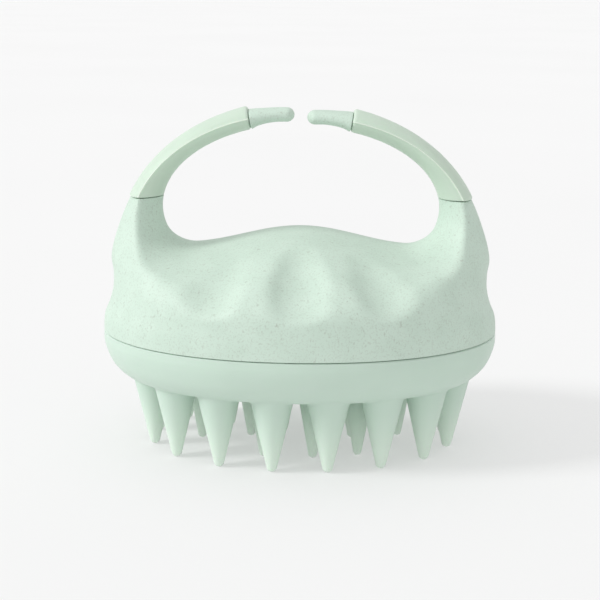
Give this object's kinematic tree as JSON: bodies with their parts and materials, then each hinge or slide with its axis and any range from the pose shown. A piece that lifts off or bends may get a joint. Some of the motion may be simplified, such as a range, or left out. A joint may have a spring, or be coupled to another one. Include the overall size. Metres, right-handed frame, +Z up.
{
  "type": "scalp massager brush",
  "caption": "Hand-held scalp massager: oval brush pad with soft cone teeth under a finger-grooved shell, with two sleeved arms curving into an open finger ring.",
  "frame": {"origin": "on the surface the brush stands on, under the middle of its bounding box; the teeth's tips touch Z = 0", "axes": "+X along the long axis of the oval, from arm to arm, +Z up from the teeth to the finger ring, -Y the front face that the picture shows"},
  "size_m": [0.09, 0.066, 0.0777],
  "materials": {
    "shell_plastic": "pale mint green moulded plastic with fine grey-brown plant-fibre specks, matt",
    "inner_plastic": "plain pale green moulded plastic, satin",
    "soft_silicone": "smooth pale mint green silicone, satin",
    "screw_steel": "zinc-plated steel"
  },
  "bodies": {
    "pad": {"brush_pad": "soft_silicone"},
    "handle": {"upper_shell": "shell_plastic", "base_plate": "inner_plastic", "screw_1": "screw_steel", "screw_2": "screw_steel", "screw_3": "screw_steel", "screw_4": "screw_steel"},
    "right_arm": {"right_arm_core": "inner_plastic", "right_grip_sleeve": "soft_silicone", "right_tip_cap": "shell_plastic"},
    "left_arm": {"left_arm_core": "inner_plastic", "left_grip_sleeve": "soft_silicone", "left_tip_cap": "shell_plastic"}
  },
  "joints": [
    {"name": "handle_pull_off", "type": "slide", "parent": "pad", "child": "handle", "axis": [0, 0, 1], "range_m": [0, 0.025]},
    {"name": "right_arm_flex", "type": "hinge", "parent": "handle", "child": "right_arm", "pos_m": [0.035, 0, 0.055], "axis": [0, 1, 0], "range_deg": [-1.5, 5], "stiffness_Nm_per_rad": 1.5},
    {"name": "left_arm_flex", "type": "hinge", "parent": "handle", "child": "left_arm", "pos_m": [-0.035, 0, 0.055], "axis": [0, -1, 0], "range_deg": [-1.5, 5], "stiffness_Nm_per_rad": 1.5}
  ]
}
